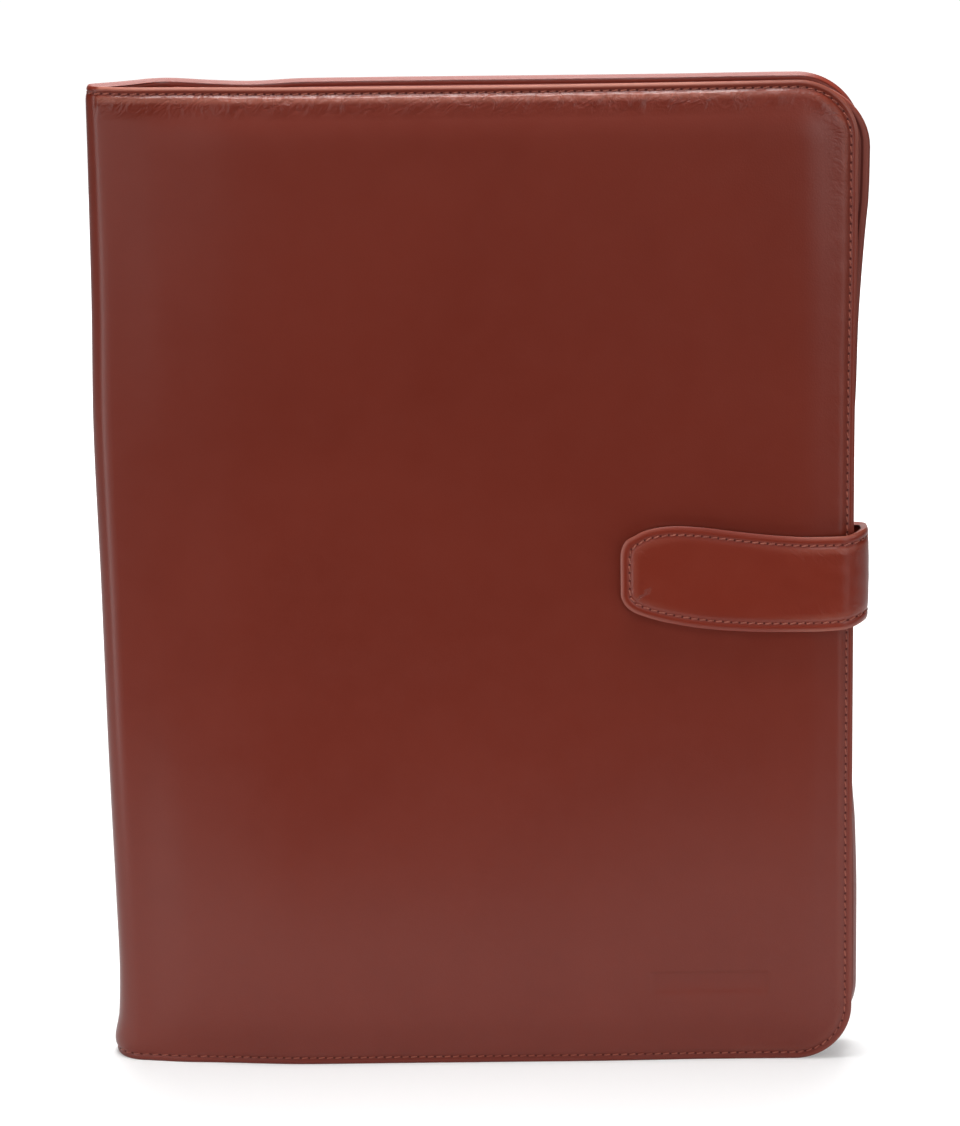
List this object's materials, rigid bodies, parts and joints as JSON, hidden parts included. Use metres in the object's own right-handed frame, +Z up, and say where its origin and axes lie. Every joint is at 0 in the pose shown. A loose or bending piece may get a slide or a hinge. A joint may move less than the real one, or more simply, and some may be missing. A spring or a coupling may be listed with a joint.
{
  "type": "leather document case",
  "caption": "Closed leather folio for papers: padded front and back covers joined by a soft spine, held shut by a stitched strap round the free edge.",
  "frame": {"origin": "on the floor, under the middle of the case's bounding box", "axes": "+Z up along the height, front cover facing -Y, spine on the -X side and free edge with the strap on the +X side"},
  "size_m": [0.2614, 0.03, 0.34],
  "materials": {
    "wrap_leather": "smooth waxed calf leather in chestnut brown with a soft sheen, lighter where it is pulled over edges",
    "panel_leather": "matt chestnut leather with a rounded, slightly greyed cut edge",
    "strap_leather": "smooth padded chestnut leather, stitched round its edge",
    "stud_metal": "plain dull brass, hidden under the strap"
  },
  "bodies": {
    "root": {"outer_wrap": "wrap_leather", "front_panel": "panel_leather", "back_panel": "panel_leather", "closure_strap": "strap_leather", "press_stud": "stud_metal"}
  },
  "joints": []
}
